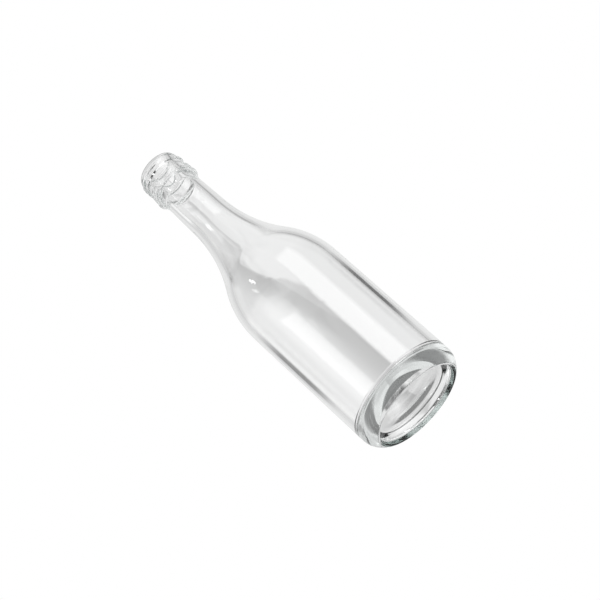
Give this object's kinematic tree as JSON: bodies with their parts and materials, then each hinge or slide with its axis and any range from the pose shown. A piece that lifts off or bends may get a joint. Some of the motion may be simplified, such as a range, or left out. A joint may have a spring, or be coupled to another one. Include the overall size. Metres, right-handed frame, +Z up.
{
  "type": "wine bottle",
  "caption": "Small clear glass wine bottle, empty and without its cap: straight body, sloping shoulders, tapered neck with a screw finish, and a punt under the base.",
  "frame": {"origin": "middle of the bearing ring that the bottle stands on", "axes": "+Z up along the bottle's axis, from the base to the mouth; the bottle is round, so +X and +Y are any two directions across it"},
  "size_m": [0.0644, 0.0644, 0.2116],
  "materials": {
    "clear_glass": "smooth clear flint glass with a faint grey-green tint"
  },
  "bodies": {
    "root": {"bottle": "clear_glass"}
  },
  "joints": []
}
